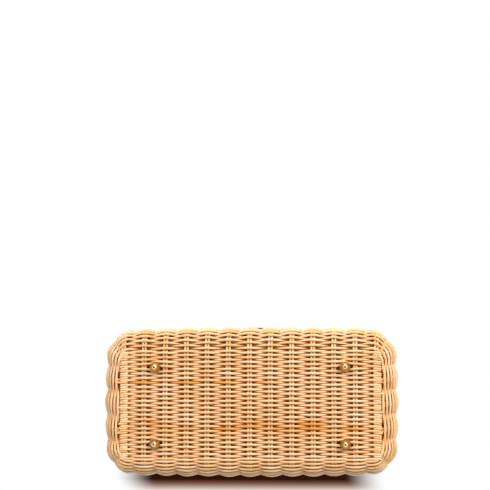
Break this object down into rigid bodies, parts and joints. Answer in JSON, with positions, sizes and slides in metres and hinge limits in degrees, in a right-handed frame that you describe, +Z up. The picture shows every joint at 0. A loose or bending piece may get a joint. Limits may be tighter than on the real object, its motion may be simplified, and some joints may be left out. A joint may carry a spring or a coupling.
{
  "type": "basket box bag",
  "caption": "Woven rattan box bag on turned brass feet, with a hinged lid, a folding leather handle and a leather tab with a magnet in front.",
  "frame": {"origin": "on the ground under the middle of the bag, which stands on its four feet", "axes": "+X along the bag to its right as seen from the front, +Y from the front to the hinged back, +Z up"},
  "size_m": [0.2664, 0.143, 0.2628],
  "materials": {
    "rattan": "satin, natural honey rattan rods",
    "brass": "polished",
    "dark_leather": "smooth grained, dark chestnut",
    "lining_cloth": "plain woven cotton, sand",
    "board": "plain fibre board",
    "steel": "plain"
  },
  "bodies": {
    "body": {"wicker_body": "rattan", "body_rim": "rattan", "base_board": "board", "body_lining": "lining_cloth", "foot_front_left": "brass", "foot_front_right": "brass", "foot_back_left": "brass", "foot_back_right": "brass", "foot_screws": "steel", "foot_washers": "steel", "hinge_left_body_leaf": "brass", "hinge_right_body_leaf": "brass", "hinge_left_pin": "brass", "hinge_right_pin": "brass", "hinge_rivets_body": "brass", "front_patch": "dark_leather", "patch_rivets": "brass", "catch_plate": "brass"},
    "lid": {"wicker_lid": "rattan", "lid_rim": "rattan", "lid_board": "board", "lid_lining": "lining_cloth", "lid_patch": "dark_leather", "closure_tab": "dark_leather", "tab_magnet": "brass", "lid_rivets": "brass", "hinge_left_lid_leaf": "brass", "hinge_right_lid_leaf": "brass", "hinge_rivets_lid": "brass", "handle_bracket_left": "brass", "handle_bracket_right": "brass", "handle_pin_left": "brass", "handle_pin_right": "brass", "handle_screws": "steel", "handle_washers": "steel"},
    "handle": {"handle_grip": "dark_leather", "handle_end_left": "brass", "handle_end_right": "brass"}
  },
  "joints": [
    {"name": "lid_hinge", "type": "hinge", "parent": "body", "child": "lid", "pos_m": [0, 0.06993, 0.12715], "axis": [-1, 0, 0], "range_deg": [0, 105]},
    {"name": "handle_fold", "type": "hinge", "parent": "lid", "child": "handle", "pos_m": [0, 0, 0.1853], "axis": [1, 0, 0], "range_deg": [-80, 80]}
  ]
}
